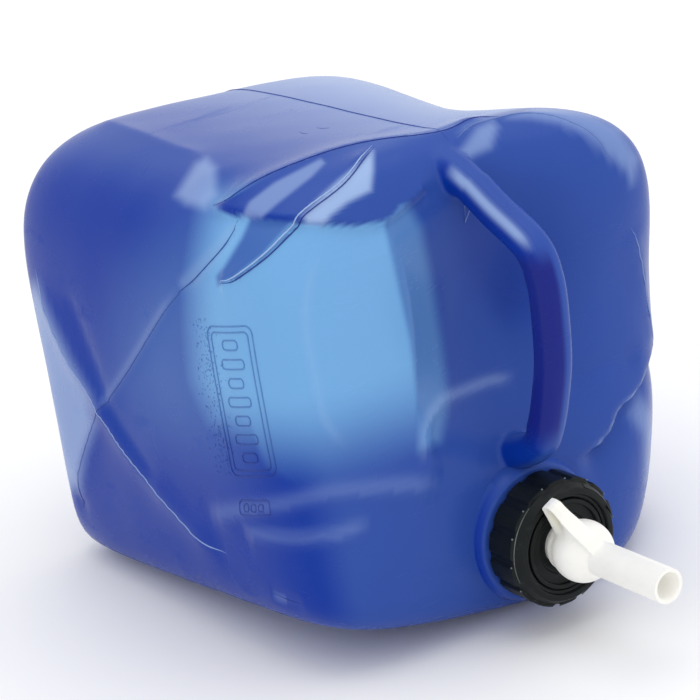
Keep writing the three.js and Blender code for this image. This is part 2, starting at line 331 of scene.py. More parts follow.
# folds and creases of the soft wall: a few corners on the surface, then height and width
# height is at the line itself; left and right are extra steps on either side of the line's direction
# light and dark give (strength, width) of a painted highlight band and a painted shade band beside the line,
# on opposite sides; lightSide picks the highlight's side
folds = {
    "top front edge": {
        "corners": [
            (52, -115, 250), (64, -110, 253), (71, -95, 260), (77, -74, 265), (80, -51, 266),
            (84, -33, 266), (91, -13, 265), (96, 8, 265), (95, 30, 266), (100, 39, 265),
        ],
        "height": 3.6, "width": 7, "light": (0.35, 0.9), "lightSide": 1,
    },
    "lip under the top edge": {
        "corners": [
            (47, -119, 246), (67, -116, 248), (97, -109, 248), (112, -83, 241), (115, -56, 234),
            (113, -31, 240), (112, -9, 248),
        ],
        "left": 2.6, "right": -1.8, "width": 11, "height": 0,
    },
    "tongue ridge": {
        "corners": [
            (88, -36, 266), (103, -66, 258), (106, -93, 250), (102, -117, 234), (87, -130, 221),
            (75, -132, 217),
        ],
        "height": 3.6, "width": 3.4, "fadeStart": 0.15, "fadeEnd": 0.06,
    },
    "groove beside the tongue": {
        "corners": [
            (90, -36, 265.5), (104.5, -65.5, 257.5), (107.5, -92.5, 249), (103.5, -116.5, 233),
            (88.5, -129.5, 220), (77, -132, 216),
        ],
        "height": -2.6, "width": 2.6, "fadeStart": 0.2, "dark": (0.5, 1.0),
    },
    "long crease, upper half": {
        "corners": [
            (76, -116, 247), (73, -125, 236), (63, -131, 225), (50, -135, 214), (38, -136, 205),
        ],
        "height": -2.2, "width": 2.5, "fadeEnd": 0.3, "light": (0.22, 3.5), "lightSide": -1,
    },
    "long crease, lower half": {
        "corners": [
            (44, -135, 209), (21, -137, 189), (-18, -138, 154), (-56, -138, 122), (-80, -138, 101),
            (-100, -138, 77), (-116, -138, 54), (-120, -137, 36),
        ],
        "height": 1.6, "width": 5, "light": (0.14, 3.0), "lightSide": -1,
    },
    "long ridge": {
        "corners": [
            (-121, -139, 189), (-108, -140, 160), (-94, -139, 138), (-81, -139, 127), (-66, -138, 114),
            (-50, -138, 98), (-26, -138, 84), (3, -138, 71), (30, -138, 60), (50, -138, 57),
        ],
        "height": 3.4, "width": 9,
    },
    "valley beside the long ridge": {
        "corners": [
            (-86, -140, 186), (-73, -139, 153), (-55, -138, 116), (-34, -138, 97), (-10, -138, 80),
        ],
        "height": -1.6, "width": 5,
    },
    "left shoulder": {
        "corners": [
            (-122, -81, 262), (-64, -88, 265), (-25, -90, 263), (6, -92, 262), (46, -110, 254),
        ],
        "height": 2.6, "width": 9,
    },
    "pocket's left rim": {
        "corners": [
            (114, -53, 237), (119, -50, 208), (123, -51, 177), (131, -59, 147), (136, -62, 127),
            (139, -58, 107), (141, -55, 93),
        ],
        "height": 3.0, "width": 9,
    },
    "pocket's lower sweep": {
        "corners": [
            (123, 16, 128), (120, 0, 130), (122, -18, 131), (129, -40, 133), (135, -56, 127),
            (138, -60, 109),
        ],
        "height": 2.4, "width": 5, "light": (0.26, 3.2), "lightSide": -1,
    },
    "front fold, upper": {
        "corners": [
            (38, -138, 75), (83, -137, 92), (120, -129, 104), (133, -112, 107), (139, -79, 101),
            (141, -51, 91),
        ],
        "height": 2.6, "width": 6, "light": (0.15, 4.5), "lightSide": 1,
    },
    "front fold, lower": {
        "corners": [
            (73, -138, 76), (104, -135, 81), (125, -126, 84), (135, -114, 85), (139, -98, 88),
        ],
        "height": 1.8, "width": 4.5, "light": (0.16, 4.0), "lightSide": 1,
    },
    "low crease": {
        "corners": [
            (87, -135, 44), (101, -133, 43), (112, -131, 44),
        ],
        "height": -1.2, "width": 2, "light": (0.2, 1.5), "lightSide": -1,
    },
    "right lobe's edge": {
        "corners": [
            (103, 8, 262), (100, 20, 264), (101, 38, 265), (105, 50, 265), (114, 60, 263), (125, 68, 258),
            (133, 75, 251), (138, 79, 243), (140, 83, 237),
        ],
        "height": 2.0, "width": 6, "light": (0.25, 1.8), "lightSide": 1,
    },
    "right rim": {
        "corners": [
            (137, 95, 195), (128, 105, 166), (124, 111, 140), (121, 115, 117),
        ],
        "height": 1.6, "width": 5,
    },
    "right notch": {
        "corners": [
            (70, 146, 112), (105, 132, 114), (119, 117, 113), (129, 103, 106), (134, 91, 99),
            (139, 74, 94), (140, 65, 85), (141, 51, 79), (142, 36, 77),
        ],
        "height": -1.5, "left": -6, "right": 3, "width": 11, "light": (0.4, 1.6), "lightSide": -1,
    },
    "right front sweep": {
        "corners": [
            (132, 38, 120), (135, 51, 121), (136, 72, 123), (132, 97, 117),
        ],
        "height": -2.0, "width": 5,
    },
    "faint crease": {
        "corners": [
            (114, -95, 231), (116, -106, 213), (119, -112, 194), (123, -113, 168), (127, -113, 147),
            (132, -105, 128),
        ],
        "height": 0.9, "width": 4, "light": (0.12, 2.2),
    },
    "left nick": {
        "corners": [
            (-127, -137, 53), (-119, -137, 42), (-112, -137, 36),
        ],
        "height": -2.0, "width": 3,
    },
}

# the sides that fold flat carry the same crossed creases
for name, sideCorners in {
    "right side, rising": [(-95, 143, 35), (-40, 144, 95), (5, 145, 135), (60, 144, 180), (95, 140, 225)],
    "right side, falling": [(-95, 141, 225), (-45, 144, 180), (5, 145, 135), (50, 144, 95), (90, 140, 45)],
    "back, rising": [(-148, -90, 40), (-151, -35, 98), (-152, 5, 138), (-150, 50, 178), (-143, 88, 215)],
    "back, falling": [(-146, -90, 225), (-151, -40, 180), (-152, 5, 138), (-150, 50, 95), (-146, 90, 42)],
}.items():
    folds[name] = {"corners": sideCorners, "height": 2.6, "width": 8}


def foldHeights(points):
    total = np.zeros(len(points))
    for fold in folds.values():
        path = surfaceSamples(fold["corners"])
        near, distance, side, share = nearestOnPath(points, path, fold["width"] * 4)
        fade = np.clip(share / fold.get("fadeStart", 0.12), 0, 1)
        fade *= np.clip((1 - share) / fold.get("fadeEnd", 0.12), 0, 1)
        fade = fade * fade * (3 - 2 * fade)
        leftShare = 0.5 + 0.5 * np.tanh(side * distance / 1.6)
        step = fold.get("right", 0) + (fold.get("left", 0) - fold.get("right", 0)) * leftShare
        rounded = np.hypot(distance, shell["crest"]) - shell["crest"]
        total[near] += fade * (fold["height"] + step) * np.exp(-rounded / fold["width"])
    return total


def softNoise(points, size, seed):
    # smooth, seeded waviness from a few sine waves
    draw = np.random.default_rng(seed)
    total = np.zeros(len(points))
    count = 7
    for _ in range(count):
        direction = unitRows(draw.normal(size=3))
        length = size * draw.uniform(0.7, 1.6)
        total += np.sin(points @ direction * 2 * math.pi / length + draw.uniform(0, 2 * math.pi))
    return total / count


def bodySurface(name, lines, inset):
    directions, faces = cubeSphere(lines)
    piece = linkMesh(name, bodyPoints(directions, inset), faces.tolist())
    if inset > 0:
        return piece
    points = meshPoints(piece)
    normals = meshNormals(piece)
    lift = foldHeights(points)
    for height, size, seed in shell["waves"]:
        lift += height * softNoise(points, size, seed)
    standing = np.clip(points[:, 2] / shell["flatFoot"], 0, 1)  # the base stays flat where it stands
    points += normals * (lift * standing)[:, None]
    points[:, 2] = np.maximum(points[:, 2], 0)
    piece.data.vertices.foreach_set("co", (points * mm).ravel())
    return piece


handle = {
    "corners": [
        (72, 0, 246), (98, 0, 250), (121.5, 0, 243.5), (143.5, 0, 231.5), (170, 0, 217), (178.5, 0, 200),
        (179.5, 0, 177), (178, 0, 156), (173.5, 0, 137), (167.5, 0, 119), (159.5, 0, 105), (147, 0, 98),
        (130, 0, 93), (105, 0, 88),
    ],
    "halfThick": 9.5,
    "halfWide": 10.5,
    "around": 40,
    "topFlare": 10,
    "footFlare": 4,
    "slimmerRight": 0.8,
    "squareness": 2.6,
    "rounded": 0.97,
    "wall": 3.4,
    "flareReach": 0.24,
    # where the bar's roots are smoothed into the body: (place, reach, rounds)
    "roots": (((104, 0, 250), 27, 14), ((143, 0, 98), 26, 18)),
}


def handleBar(name, inset):
    path = smoothPath(handle["corners"], 1.6)
    tangents = unitRows(np.gradient(path, axis=0))
    angles = np.arange(handle["around"]) * 2 * math.pi / handle["around"]
    share = np.linspace(0, 1, len(path))
    power = handle["squareness"]
    reach = handle["flareReach"]
    points = []
    for place, tangent, along in zip(path, tangents, share):
        across = np.array((tangent[2], 0, -tangent[0]))
        flare = handle["topFlare"] * max(0, 1 - along / reach) ** 2
        flare += handle["footFlare"] * max(0, (along - 1 + reach) / reach) ** 2
        for angle in angles:
            square = (abs(math.cos(angle)) ** power + abs(math.sin(angle)) ** power) ** (-1 / power)
            square *= handle["rounded"]
            thick = (handle["halfThick"] + flare - inset) * math.cos(angle) * square
            wide = (handle["halfWide"] + flare - inset) * math.sin(angle) * square
            wide *= handle["slimmerRight"] if wide > 0 else 1
            points.append(place + across * thick + np.array((0, wide, 0)))
    count = handle["around"]
    faces = ringFaces(len(path), count, False)
    faces += [tuple(range(count)), tuple(range((len(path) - 1) * count, len(path) * count))]
    return linkMesh(name, points, faces)


neck = {
    "shoulderX": 149,
    "rimX": 165.2,
    "bore": 26.8,
    "root": 29.5,
    "crest": 31.5,
    "pitch": 6,
    "turns": 1.25,
    "threadStart": 152.8,
}


def thread(name, startX, rootRadius, crestRadius, steps=96):
    # a rounded ridge wound round the neck's axis, fading in and out
    count = round(steps * neck["turns"])
    points = []
    for i in range(count + 1):
        angle = i / steps * 2 * math.pi
        middle = startX + i / steps * neck["pitch"]
        share = min(1, i / 12, (count - i) / 12)
        crest = rootRadius + (crestRadius - rootRadius) * (0.1 + 0.9 * math.sin(share * math.pi / 2))
        for x, radius in ((-1.25, rootRadius), (-0.75, crest - 0.25), (-0.4, crest), (0.4, crest),
                          (0.75, crest - 0.25), (1.25, rootRadius)):
            points.append((middle + x, radius * math.cos(angle), neckZ + radius * math.sin(angle)))
    faces = ringFaces(count + 1, 6, False)
    faces += [tuple(range(6)), tuple(range(count * 6, count * 6 + 6))]
    return linkMesh(name, points, faces)


def softenJoin(piece, place, reach, rounds):
    # smooths the crease where two shapes meet, around a place
    work = bmesh.new()
    work.from_mesh(piece.data)
    middle = Vector(place) * mm
    near = [vert for vert in work.verts if (vert.co - middle).length < reach * mm]
    for _ in range(rounds):
        bmesh.ops.smooth_vert(
            work, verts=near, factor=0.5, use_axis_x=True, use_axis_y=True, use_axis_z=True
        )
    work.to_mesh(piece.data)
    work.free()


def makeShell():
    body = bodySurface("water_carrier_shell", shell["lines"], 0)
    shoulderX = neck["shoulderX"]
    shoulder = turned("shoulder", [
        (100, 0), (100, 41), (141, 41), (144.5, 39.6), (147.6, 38.4), (148.7, 37.3), (shoulderX, 36),
        (shoulderX, 0),
    ])
    root = neck["root"]
    rimX = neck["rimX"]
    mouth = turned("mouth", [
        (140, 0), (140, root + 2.6), (shoulderX - 0.2, root + 2.6), (shoulderX + 1, root + 1),
        (shoulderX + 3, root), (rimX - 1, root), (rimX - 0.3, root - 0.3), (rimX, root - 1), (rimX, 0),
    ])
    ridge = thread("ridge", neck["threadStart"], root - 0.6, neck["crest"])
    combine(body, handleBar("bar", 0), "UNION")
    for place, reach, rounds in handle["roots"]:
        softenJoin(body, place, reach, rounds)
    for part in (shoulder, mouth, ridge):
        combine(body, part, "UNION")
    inside = bodySurface("inside", shell["innerLines"], shell["inside"])
    bore = neck["bore"]
    combine(inside, turned("bore", [(90, 0), (90, bore), (rimX + 5, bore), (rimX + 5, 0)]), "UNION")
    combine(inside, handleBar("hollow", handle["wall"]), "UNION")
    combine(body, inside, "DIFFERENCE")
    return smoothShade(body, 42)


shellPiece = makeShell()
print("shell made:", len(shellPiece.data.polygons), "faces")


# light and shade painted into the wall's colour, as masks painted on the shell's points
# outlines are places on the surface, compared on a plane that faces the near top corner
facing = unitRows(np.array((0.79, -0.51, 0.33)))
sheetRight = unitRows(np.cross((0, 0, 1), facing))
sheetUp = np.cross(facing, sheetRight)


def flatten(points):
    points = np.asarray(points, float)
    return np.stack([points @ sheetRight, points @ sheetUp], -1)


def smoothStep(value, low, high):
    share = np.clip((value - low) / (high - low), 0, 1)
    return share * share * (3 - 2 * share)


def insideOutline(flat, outline, soft):
    # 1 well inside the outline, 0 well outside, soft millimetres between
    corners = flatten(outline)
    nextCorners = np.roll(corners, -1, axis=0)
    closest = np.full(len(flat), 1e9)
    crossings = np.zeros(len(flat), bool)
    for a, b in zip(corners, nextCorners):
        edge = b - a
        share = np.clip(((flat - a) @ edge) / max(edge @ edge, 1e-9), 0, 1)
        closest = np.minimum(closest, np.linalg.norm(flat - a - share[:, None] * edge, axis=1))
        above = (a[1] > flat[:, 1]) != (b[1] > flat[:, 1])
        rise = b[1] - a[1] if b[1] != a[1] else 1e-9
        crossings ^= above & (flat[:, 0] < a[0] + (flat[:, 1] - a[1]) * edge[0] / rise)
    signed = np.where(crossings, closest, -closest)
    return smoothStep(signed, -soft / 2, soft / 2)


patches = {
    # painted backlight: where light from behind comes through the wall, painted as a paler cyan
    "backlitWall": {
        "haze on the left": {
            "outline": [
                (58, -118, 247), (33, -126, 239), (0, -136, 211), (-29, -139, 170), (-42, -138, 132),
                (-14, -138, 114), (61, -138, 121), (98, -135, 136), (92, -131, 210),
            ],
            "soft": 60, "strength": 0.2,
        },
        "left part": {
            "outline": [
                (50, -113, 252), (55, -128, 233), (52, -135, 212), (49, -137, 187), (46, -138, 158),
                (52, -138, 134), (82, -137, 132), (129, -112, 136), (107, -78, 252),
            ],
            "soft": 34, "fadeLow": (104, 165),
        },
        "middle": {
            "outline": [
                (65, -109, 254), (77, -126, 233), (79, -134, 209), (78, -136, 182), (82, -136, 155),
                (99, -134, 120), (121, -125, 110), (135, -92, 105), (138, -64, 117), (132, -55, 140),
                (124, -50, 171), (120, -51, 204), (115, -51, 233), (111, -44, 249), (90, -84, 262),
            ],
            "soft": 7, "fadeLow": (108, 165),
        },
        "band to the pocket": {
            "outline": [
                (112, -47, 245), (112, -38, 245), (115, -30, 227), (111, -24, 194), (113, -24, 160),
                (126, -33, 132), (136, -48, 116), (138, -64, 117), (130, -62, 151), (122, -58, 187),
                (117, -58, 225),
            ],
            "soft": 9, "strength": 0.45,
        },
        "above the lip": {
            "outline": [
                (52, -115, 250), (62, -109, 254), (70, -94, 261), (74, -73, 265), (77, -49, 266),
                (81, -31, 266), (89, -11, 266), (112, -20, 254), (115, -30, 242), (113, -40, 240),
                (114, -45, 237), (115, -53, 235), (114, -70, 237), (112, -84, 241), (107, -98, 245),
                (96, -109, 248), (78, -115, 248), (67, -116, 248),
            ],
            "soft": 2.2, "cuts": True,
        },
        "tongue": {
            "outline": [
                (85, -113, 249), (86, -121, 240), (80, -129, 227), (74, -132, 220), (76, -133, 216),
                (87, -130, 221), (101, -119, 233), (105, -96, 249),
            ],
            "soft": 4, "strength": 0.75, "cuts": True,
        },
    },
    # painted highlights and sheen on folds, crests, edges and lobes
    "highlightWall": {
        "lip, left part": {
            "outline": [
                (79, -115, 248), (77, -108, 254), (80, -93, 261), (81, -77, 264), (80, -63, 266),
                (86, -65, 265), (92, -78, 262), (94, -92, 258), (94, -103, 254), (92, -111, 249),
            ],
            "soft": 3, "strength": 0.42,
        },
        "lip, right part": {
            "outline": [
                (89, -36, 265), (103, -47, 259), (109, -54, 251), (110, -70, 249), (110, -81, 245),
                (111, -86, 242), (108, -95, 244), (106, -95, 248), (105, -83, 254), (102, -68, 259),
                (97, -50, 263),
            ],
            "soft": 4.5, "strength": 0.85,
        },
        "corner facet": {
            "outline": [
                (16, -116, 250), (8, -96, 261), (11, -91, 263), (26, -95, 261), (48, -110, 254),
                (46, -117, 248), (29, -118, 248),
            ],
            "soft": 8, "strength": 0.5,
        },
        "handle's root": {
            "outline": [
                (108, 7, 257), (101, 24, 264), (99, 36, 265), (107, 33, 263), (113, 23, 255),
                (111, 10, 253),
            ],
            "soft": 7, "strength": 0.45,
        },
        "lobe's crown": {
            "outline": [
                (103, 43, 265), (96, 70, 263), (106, 79, 262), (117, 90, 257), (130, 97, 249),
                (136, 104, 232), (140, 96, 219), (141, 91, 229), (139, 81, 240), (132, 73, 252),
                (122, 63, 260), (111, 52, 264),
            ],
            "soft": 7, "strength": 0.4,
        },
        "low lobe": {
            "outline": [
                (134, 92, 97), (116, 116, 74), (122, 112, 62), (116, 111, 35), (121, 100, 27),
                (133, 94, 72), (137, 82, 89),
            ],
            "soft": 10, "strength": 0.35,
        },
        "left edge": {
            "outline": [
                (-124, -139, 179), (-111, -139, 158), (-97, -139, 138), (-82, -138, 119), (-82, -138, 100),
                (-102, -138, 76), (-119, -137, 50), (-139, -139, 42), (-165, -141, 90), (-165, -143, 148),
            ],
            "soft": 14, "strength": 0.6,
        },
    },
    # painted shade in the hand pocket, where less light comes through
    "shadowWall": {
        "pocket": {
            "outline": [
                (116, 4, 237), (119, 19, 219), (120, 33, 191), (117, 32, 166), (113, 22, 157),
                (106, 10, 172), (108, -1, 198), (114, -5, 222),
            ],
            "soft": 22, "strength": 0.3,
        },
    },
}

# shares that follow from where a point lies and which way it faces, as (none, full) values: a painted sheen
# on the top, painted shade on the sides facing left and on the bar's left half, and a painted highlight
# streak on the bar;
# left, front and below are measured along -Y, -X and -Z
byPlace = {
    "top": {"level": (0.75, 0.95), "height": (245, 258), "front": (-100, -88), "across": (-80, 80),
            "strength": 0.58},
    "left side": (0.35, 0.9),
    "bar's dark half": {"left": (-0.4, 0.4), "ahead": (148, 160), "below": (-222, -208), "above": (100, 122)},
    "bar's bright streak": {"left": (5.5, 8.5), "above": (216, 226), "ahead": (112, 126),
                            "level": (0.0, 0.45), "strength": 0.7},
    "bar": (-15.5, -12.5),
}


def paintMasks(piece):
    points = meshPoints(piece)
    normals = meshNormals(piece)
    flat = flatten(points)
    towards = smoothStep(normals @ facing, -0.1, 0.1)
    values = {}
    for name, layers in patches.items():
        value = np.zeros(len(points))
        for layer in layers.values():
            mask = insideOutline(flat, layer["outline"], layer["soft"]) * towards
            if "fadeLow" in layer:
                mask *= smoothStep(points[:, 2], *layer["fadeLow"])
            if layer.get("cuts"):
                value *= 1 - mask * layer.get("strength", 1)
            else:
                value = np.maximum(value, mask * layer.get("strength", 1))
        values[name] = value
    x, y, z = points.T
    # painted sheen on the top, paler towards the right and fading out at the front edge
    top = byPlace["top"]
    onTop = top["strength"] * smoothStep(normals[:, 2], *top["level"]) * smoothStep(z, *top["height"])
    onTop *= smoothStep(-x, *top["front"]) * smoothStep(y, *top["across"])
    values["highlightWall"] = np.maximum(values["highlightWall"], onTop)
    # painted shade on the sides facing left
    values["shadedWall"] = smoothStep(-normals[:, 1], *byPlace["left side"])
    # painted highlights on fold crests and painted shade in creases; the shade also takes away the painted
    # backlight
    light, dark = foldLines(points)
    values["highlightWall"] = np.maximum(values["highlightWall"], light)
    values["shadowWall"] = np.maximum(values["shadowWall"], dark)
    values["backlitWall"] *= 1 - dark
    onBar = barShare(points)
    for name in ("backlitWall", "highlightWall"):
        values[name] *= 1 - onBar
    # painted shade on the bar's left half
    half = byPlace["bar's dark half"]
    leftHalf = onBar * smoothStep(-y, *half["left"]) * smoothStep(x, *half["ahead"])
    leftHalf *= smoothStep(-z, *half["below"]) * smoothStep(z, *half["above"])
    values["shadowWall"] = np.maximum(values["shadowWall"], leftHalf)
    # a painted highlight streak on the upper left of the bar
    bright = byPlace["bar's bright streak"]
    streak = bright["strength"] * onBar * smoothStep(-y, *bright["left"]) * smoothStep(z, *bright["above"])
    streak *= smoothStep(x, *bright["ahead"]) * smoothStep(normals[:, 2], *bright["level"])
    values["highlightWall"] = np.maximum(values["highlightWall"], streak)
    for name, value in values.items():
        storeShare(piece, name, value)


foldPaint = {"reach": 20, "endFade": 0.12, "lightOffset": 0.7, "darkOffset": 0.9, "riding": 0.8}


def foldLines(points):
    # painted highlights and painted shade along the folds, as thin light and dark lines: (strength, width),
    # the light one on its own side
    light = np.zeros(len(points))
    dark = np.zeros(len(points))
    for fold in folds.values():
        lightStrength, lightWidth = fold.get("light", (0, 1))
        darkStrength, darkWidth = fold.get("dark", (0, 1))
        path = surfaceSamples(fold["corners"])
        path = path + unitRows(path - centre) * max(0, fold["height"]) * foldPaint["riding"]
        near, distance, side, share = nearestOnPath(points, path, foldPaint["reach"])
        signed = distance * side * fold.get("lightSide", 1)
        fade = np.clip(np.minimum(share, 1 - share) / foldPaint["endFade"], 0, 1)
        lightGap = (signed - lightWidth * foldPaint["lightOffset"]) / lightWidth
        darkGap = (signed + darkWidth * foldPaint["darkOffset"]) / darkWidth
        lit = lightStrength * np.exp(-(lightGap**2)) * fade
        shaded = darkStrength * np.exp(-(darkGap**2)) * fade
        light[near] = np.maximum(light[near], lit)
        dark[near] = np.maximum(dark[near], shaded)
    return light, dark


def barShare(points):
    # 1 on the handle's bar and 0 on the body behind it
    path = smoothPath(handle["corners"][2:-2], 3)
    near = np.full(len(points), 1e9)
    for place in path:
        near = np.minimum(near, np.linalg.norm(points - place, axis=1))
    return smoothStep(-near, *byPlace["bar"])


paintMasks(shellPiece)
print("wall masks painted")


# the screw collar
collar = {
    "back": 151,
    "face": 175,
    "bore": 32.2,
    "threadCrest": 30.3,
    "opening": 26,
    "outer": 34.7,
    "ribs": 14,
    "ribHeight": 1.3,
    "stepsPerRib": 20,
    "ribFrom": 0.12,
    "ribTo": 0.88,
    "ribSlope": 0.05,
    "seat": 171.5,  # the inner face that presses on the plate
    "bevel": 4.6,  # how far behind the face the sloping front starts
}


def ribProfile(phase):
    # 1 on a rib, 0 in the groove between two ribs, with short slopes
    rise = (phase - collar["ribFrom"]) / collar["ribSlope"]
    fall = (collar["ribTo"] - phase) / collar["ribSlope"]
    return min(1, max(0, min(rise, fall)))


def makeCollar():
    steps = collar["ribs"] * collar["stepsPerRib"]
    outer = collar["outer"]
    back = collar["back"]
    face = collar["face"]
    seat = collar["seat"]
    opening = collar["opening"]
    bore = collar["bore"]
    # (x, radius, how much of the rib's height it takes)
    profile = [
        (back, 33.4, 0), (back, outer - 0.7, 0), (back + 0.25, outer - 0.2, 0.7), (back + 0.8, outer, 1),
        (face - 6.2, outer, 1), (face - 5.2, outer - 0.1, 1), (face - 4.8, outer - 0.5, 0.7),
        (face - 4.6, outer - 0.9, 0), (face - 0.9, outer - 2.9, 0), (face - 0.25, outer - 3.5, 0),
        (face, outer - 4.3, 0), (face, outer - 6.2, 0), (face - 0.3, outer - 6.7, 0),
        (face - 1.7, outer - 7.3, 0), (face - 1.9, outer - 8.3, 0), (face - 2.2, opening, 0),
        (seat + 0.6, opening, 0), (seat + 0.1, opening + 0.2, 0), (seat, opening + 1, 0),
        (seat, bore - 0.6, 0), (seat - 0.3, bore - 0.1, 0), (seat - 0.9, bore, 0),
        (back + 0.6, bore, 0), (back, bore + 0.6, 0),
    ]
    points = []
    for x, radius, share in profile:
        for i in range(steps):
            angle = i / steps * 2 * math.pi
            phase = (i % collar["stepsPerRib"]) / collar["stepsPerRib"]
            full = radius + share * collar["ribHeight"] * ribProfile(phase)
            points.append((x, full * math.cos(angle), neckZ + full * math.sin(angle)))
    piece = linkMesh("ribbed_collar", points, ringFaces(len(profile), steps, True))
    threadStart = neck["threadStart"] + neck["pitch"] / 2
    combine(piece, thread("inner ridge", threadStart, bore + 0.6, collar["threadCrest"]), "UNION")
    return smoothShade(piece, 28)


arrow = {
    "from": 28,  # where the shaft starts and ends and how long the head is, in degrees
    "to": 66,
    "head": 15,
    "radius": 32.6,
    "halfWidth": 0.75,
    "headHalfWidth": 2.0,
    "raised": 0.55,
    "sunk": -0.5,
    "slope": 1.7,  # the collar's front falls back this much for each millimetre outwards, from slopeRadius
    "slopeRadius": 31.6,
    "slopeBack": 0.7,
}


def makeArrow():
    # a plain curved arrow raised on the collar's sloping face
    start, end, headSpan = (math.radians(arrow[key]) for key in ("from", "to", "head"))
    middle = arrow["radius"]
    headHalf = arrow["headHalfWidth"]
    stations = [(start + (end - start) * i / 12, arrow["halfWidth"]) for i in range(13)]
    stations.append((end, headHalf))
    stations += [(end + headSpan * i / 5, headHalf * (1 - i / 5) + 0.05) for i in range(1, 6)]
    points = []
    for angle, width in stations:
        for radius in (middle - width, middle + width):
            slope = collar["face"] - arrow["slopeBack"] - (radius - arrow["slopeRadius"]) * arrow["slope"]
            for height in (arrow["raised"], arrow["sunk"]):
                points.append((slope + height, radius * math.sin(angle), neckZ + radius * math.cos(angle)))
    faces = []
    for i in range(len(stations) - 1):
        a, b = 4 * i, 4 * i + 4
        faces += [(a, a + 2, b + 2, b), (a + 1, b + 1, b + 3, a + 3)]
        faces += [(a, b, b + 1, a + 1), (a + 2, a + 3, b + 3, b + 2)]
    last = 4 * (len(stations) - 1)
    faces += [(0, 1, 3, 2), (last, last + 2, last + 3, last + 1)]
    return smoothShade(linkMesh("turn_arrow", points, faces), 30)


glints = {
    "from": 248,  # the stretch of the front edge with a painted highlight line, in degrees
    "span": 75,
    "steps": 60,
    "thick": 0.3,
    "pip": ((0.55, -0.2), (0.5, 0.15), (0.3, 0.4), (0.1, 0.48)),  # (radius, height) up a rib's pip that carries a painted glint
    "pipPhase": 0.14,
    "pipBack": 0.8,
    "pipSunk": 0.25,
    "edgeInset": 0.75,
}


def makeGlints():
    # painted highlights: a light line along part of the front edge, and a small light pip at each rib's front
    # corner
    forward = np.array((1, 0, 0))
    edge = np.array((collar["face"] - collar["bevel"], 0, neckZ))
    rings = []
    for i in range(glints["steps"] + 1):
        angle = math.radians(glints["from"] + i * glints["span"] / glints["steps"])
        thick = glints["thick"] * math.sin(math.pi * (i + 1) / (glints["steps"] + 2)) ** 0.5
        outward = np.array((0, math.sin(angle), math.cos(angle)))
        rings.append((edge + outward * (collar["outer"] - glints["edgeInset"]), outward, forward, thick))
    points = []
    faces = []
    addTube(points, faces, rings, 6)
    for rib in range(collar["ribs"]):
        angle = (rib + glints["pipPhase"]) / collar["ribs"] * 2 * math.pi
        outward = np.array((0, math.cos(angle), math.sin(angle)))
        along = np.array((0, -math.sin(angle), math.cos(angle)))
        reach = collar["outer"] + collar["ribHeight"] - glints["pipSunk"]
        place = edge - forward * glints["pipBack"] + outward * reach
        rings = [(place + outward * height, along, forward, radius) for radius, height in glints["pip"]]
        addTube(points, faces, rings, 8)
    return smoothShade(linkMesh("painted_glints", points, faces), 60)


collarPiece = makeCollar()
arrowPiece = makeArrow()
glintPiece = makeGlints()
print("collar made")


# the spigot plate under the collar
port = {  # the holes that meet when the tap is open: down through the socket, and sideways through the stem
    "x": 153.5,
    "plateZ": 35.4,
    "plateRadius": 4,
    "plateDepth": 12,
    "tapY": -8,
    "tapRadius": 3.5,
    "tapDepth": 14,
}


def makePlate():
    lip = 25.1
    profile = [
        (146.3, 12.6), (146, 12.9), (146, 14.8), (146.4, 15.2), (166.2, 15.2), (167.8, 16.6), (167.8, 31.1),
        (168.1, 31.4), (170.9, 31.4), (171.2, 31.1), (171.2, lip + 0.5), (171.5, lip + 0.15),
        (173.2, lip), (173.5, lip - 0.3), (173.5, 23.0), (173.2, 22.6), (171.6, 22.4), (171.3, 22.1),
        (171.2, 21.6), (171.2, 17.2), (170.7, 16.6), (170.6, 13.2), (170.4, 12.8), (170.1, 12.6),
    ]
    piece = turned("socket_plate", profile, 128, closed=True)
    drill(piece, (port["x"], 0, port["plateZ"]), port["plateRadius"], port["plateDepth"])
    return smoothShade(piece, 30)


platePiece = makePlate()


# the tap
tap = {
    "ballRadius": 17,
    "ballMiddle": 186.6,
    "footRadius": 14,
    "footBack": 172.6,
    "spoutRadius": 9.5,
    "spoutEnd": 253,
    "bore": 7.2,
    "wingBack": 176,
    "wingReach": 35.5,
    "wingThick": 8.8,
    "wingLean": 26,
    "voxel": 0.55,
    "scoop": {"reach": 25.5, "reachSpread": 6.5, "x": 7, "xSpread": 4, "depth": 3.4},
    "stemBack": 141.5,
    "stem": 11.2,
}


def makeWing():
    # the thumb wing, scooped on the side that the thumb pushes
    back = tap["wingBack"]
    reach = tap["wingReach"]
    half = tap["wingThick"] / 2
    outline = [
        (2, back + 0.5), (reach - 8, back + 0.8), (reach - 2.5, back + 1.6), (reach - 0.3, back + 4),
        (reach, back + 7.5), (reach - 1, back + 10.5), (reach - 5, back + 12.5), (26, back + 15.5),
        (20, back + 19.5), (14, back + 25), (8, back + 28.5), (2, back + 30),
    ]
    lean = math.radians(tap["wingLean"])
    points = []
    for side in (half, -half):
        for radius, x in outline:
            y = -side * (0.92 if radius > 20 else 1.1)
            across = y * math.cos(lean) - radius * math.sin(lean)
            height = y * math.sin(lean) + radius * math.cos(lean)
            points.append((x, across, neckZ + height))
    count = len(outline)
    faces = [tuple(range(count)), tuple(range(2 * count - 1, count - 1, -1))]
    faces += [(i, (i + 1) % count, count + (i + 1) % count, count + i) for i in range(count)]
    return linkMesh("wing", points, faces)


